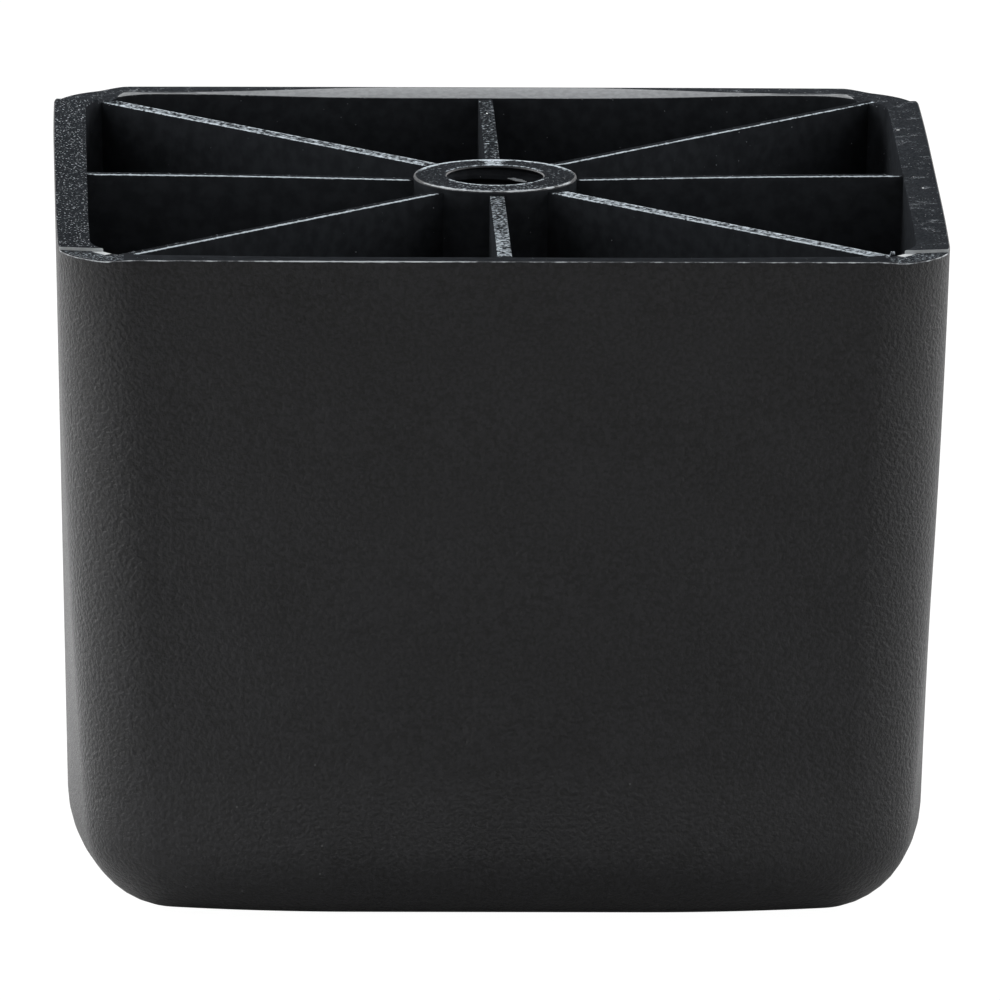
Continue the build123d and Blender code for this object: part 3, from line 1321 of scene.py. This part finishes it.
@dataclass
class Studio:
    """White floor and surroundings with soft light."""

    floor_half: float = 3.0
    floor_gap: float = 0.0001
    floor_white: float = 0.52
    floor_glow: float = 1.1
    floor_share: float = 0.9
    light: StudioLight = StudioLight()
    lamps: tuple[Softbox, ...] = ()

    @staticmethod
    def sees_white(sheet: NodeSheet) -> bpy.types.NodeSocket:
        """Mask of the rays that see the surroundings as plain white."""
        path = sheet.place("LightPath")
        return sheet.math("MAXIMUM", *(path.outputs[ray.value] for ray in Ray))

    def build_world(self) -> None:
        """White surroundings to look at, which light the object softly."""
        world = bpy.data.worlds.new("white_room")
        world.use_nodes = True
        sheet = NodeSheet(world.node_tree)
        light = sheet.place("Background", {"Color": (1, 1, 1, 1), "Strength": self.light.strength(sheet)})
        white = sheet.place("Background", {"Color": (1, 1, 1, 1), "Strength": 1.0})
        both = sheet.place(
            "MixShader",
            {0: self.sees_white(sheet), 1: light.outputs[0], 2: white.outputs[0]},
        )
        sheet.place("OutputWorld", {"Surface": both.outputs[0]})
        bpy.context.scene.world = world

    def build_floor(self) -> bpy.types.Object:
        """White floor that keeps the object's shadow and is clear from below.

        Returns:
            The floor.
        """
        half, low = self.floor_half, -self.floor_gap
        mesh = bpy.data.meshes.new("floor")
        corners = [(-half, -half, low), (half, -half, low), (half, half, low), (-half, half, low)]
        mesh.from_pydata(corners, [], [(0, 1, 2, 3)])
        material = bpy.data.materials.new("white_floor")
        material.use_nodes = True
        sheet = NodeSheet(material.node_tree)
        paint = sheet.place("BsdfDiffuse", {"Color": (*[self.floor_white] * 3, 1)})
        glow = sheet.place("Emission", {"Color": (1, 1, 1, 1), "Strength": self.floor_glow})
        share = sheet.math("MULTIPLY", self.sees_white(sheet), self.floor_share)
        top = sheet.place("MixShader", {0: share, 1: paint.outputs[0], 2: glow.outputs[0]})
        clear = sheet.place("BsdfTransparent")
        behind = sheet.place("NewGeometry").outputs["Backfacing"]
        both = sheet.place("MixShader", {0: behind, 1: top.outputs[0], 2: clear.outputs[0]})
        sheet.place("OutputMaterial", {"Surface": both.outputs[0]})
        mesh.materials.append(material)
        floor = bpy.data.objects.new("floor", mesh)
        bpy.context.scene.collection.objects.link(floor)
        return floor

    def build(self) -> None:
        """Set up the world, the floor and the lamps."""
        self.build_world()
        self.build_floor()
        for lamp in self.lamps:
            lamp.build()


# Pale blue laid on worn places and on the painted highlights of the rib tops and the boss ring.
PALE_WEAR_AND_HIGHLIGHT_BLUE: Colour = (0.52, 0.58, 0.63)

FINISHES = {
    Zone.GRAIN: PlasticFinish(
        "grained_wall",
        dark=0.0,
        light=0.0149,
        tint=(1.0, 1.02, 1.141),
        roughness=0.42,
        roughness_spread=0.04,
        specular=0.33,
        grain_size=0.36,
        grain_depth=0.19,
    ),
    Zone.TRIM: PlasticFinish(
        "rubbed_trim",
        dark=0.0095,
        light=0.039,
        roughness=0.65,
        chafe_break=0.8,
        dust_share=0.5,
        dust_spacing=0.45,
        dust_size=0.05,
        scuff_share=0.5,
    ),
    Zone.SPARKLE: PlasticFinish(
        "sparkled_trim",
        dark=0.006,
        light=0.032,
        roughness=0.65,
        chafe_break=0.8,
        dust_share=1.0,
        dust_spacing=0.26,
        dust_size=0.075,
        scuff_share=0.2,
        dust=(0.56, 0.6, 0.64),
    ),
    Zone.CORE: PlasticFinish(
        "smooth_core",
        dark=0.0138,
        light=0.0254,
        roughness_spread=0.04,
        grain_size=1.2,
        grain_depth=0.004,
        chafe_reach=0.4,
        dust_share=0.5,
        dust_spacing=0.7,
        dust_size=0.045,
        dust=(0.4, 0.42, 0.45),
    ),
    # The corner steps' pale colour is a painted highlight, where the rounded step catches the light.
    Zone.STEP_HIGHLIGHT: PlasticFinish(
        "step_painted_highlight",
        dark=0.4,
        light=0.55,
        tint=(1.0, 1.053, 1.075),
        roughness_spread=0.05,
        specular=0.3,
        grain_size=0.5,
    ),
    Zone.RIDGE: PlasticFinish(
        "smooth_ridge",
        dark=0.006,
        light=0.024,
        roughness_spread=0.1,
        grain_size=0.16,
        grain_depth=0.016,
        chafe_reach=0.65,
        chafe_break=0.35,
        dust_share=0.3,
        scuff_share=0.1,
        pale_wear_and_highlight=PALE_WEAR_AND_HIGHLIGHT_BLUE,
    ),
    Zone.RING: PlasticFinish(
        "faced_ring",
        dark=0.003,
        light=0.038,
        roughness=0.55,
        grain_depth=0.03,
        chafe_reach=0.65,
        chafe_break=0.3,
        dust_share=0.3,
        scuff_share=0.1,
        pale_wear_and_highlight=PALE_WEAR_AND_HIGHLIGHT_BLUE,
    ),
    Zone.EDGE: PlasticFinish(
        "edge_wear_and_painted_glint",
        dark=0.013,
        light=0.036,
        roughness=0.45,
        roughness_spread=0.06,
        specular=0.22,
        grain_size=0.3,
        grain_depth=0.008,
        chafe_reach=0.65,
        chafe_break=1.4,
    ),
    # The back facet's pale colour is a painted reflection of the bright room behind, laid over its real
    # gloss.
    Zone.FACET: PlasticFinish(
        "facet_painted_reflection",
        dark=0.135,
        light=0.205,
        tint=(1.0, 1.059, 1.118),
        roughness=0.24,
        roughness_spread=0.03,
        specular=0.8,
        grain_size=0.6,
        grain_depth=0.003,
        chafe_reach=0.45,
        dust_share=0.1,
        dust_spacing=1.0,
    ),
}

MARKS = (
    Mark(MarkKind.SPECK, (-16.32, -37.91, 14.79)),
    Mark(MarkKind.SPECK, (11.25, -37.91, 13.14)),
    Mark(MarkKind.SPECK, (-23.11, -37.40, 10.89)),
    Mark(MarkKind.SPECK, (-15.66, -37.73, 7.48)),
    Mark(MarkKind.SPECK, (-15.81, -37.25, 4.85)),
    Mark(MarkKind.SPECK, (-27.51, -35.12, 3.15)),
    Mark(MarkKind.SPECK, (-22.61, -35.67, 2.93)),
    Mark(MarkKind.SPECK, (-0.02, 29.56, 59.60), (0.11, 0.35, 0.30), 1.0),
    Mark(MarkKind.SPECK, (37.72, -6.08, 59.95), (0.11, 0.35, 0.30), 0.6),
    Mark(MarkKind.SPECK, (36.61, 20.32, 59.90), (0.20, 0.25, 0.30), 0.6),
    Mark(MarkKind.PIT, (35.18, -37.70, 45.40), (0.30, 1.00, 0.25), 1.0),
)

LAMPS = (
    Softbox("left_softbox", (-0.28, 0.26, 0.20), (-0.23, 0.22, 0.0), 0.25, 0.5, 1.43),
    Softbox("right_softbox", (0.28, 0.26, 0.20), (0.23, 0.22, 0.0), 0.25, 0.5, 0.88),
    Softbox("left_floor_softbox", (-0.125, 0.0, 0.06), (-0.125, 0.001, 0.0), 0.12, 0.2, 0.25),
    Softbox("right_floor_softbox", (0.125, 0.0, 0.06), (0.125, 0.001, 0.0), 0.12, 0.2, 0.14),
    Softbox("front_floor_softbox", (0.0, -0.052, 0.015), (0.0, -0.0519, 0.0), 0.08, 0.015, 0.0018),
    Softbox("overhead_softbox", (0.0, 0.7, 1.0), (0.0, 0.0, 0.05), 0.9, 0.7, 0.83),
)


def main() -> None:
    """Build the leg, its studio and its camera, and log the moulding's face count."""
    logging.basicConfig(level=logging.INFO, format="%(name)s: %(message)s")
    bpy.context.scene.view_settings.view_transform = "Standard"
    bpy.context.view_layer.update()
    low, high = (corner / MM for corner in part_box(NODE))
    form = LegForm(height=high.z - low.z, top_side=high.x - low.x)
    piece = LegMoulding(form, FINISHES).build(SharedEffects(MARKS))
    LOG.info("%s: %d faces on body %s", piece.name, len(piece.data.polygons), BODY)
    middle = (low + high) / 2
    Studio(lamps=LAMPS).build()
    PhotoCamera().build(middle)


if __name__ == "__main__":
    main()
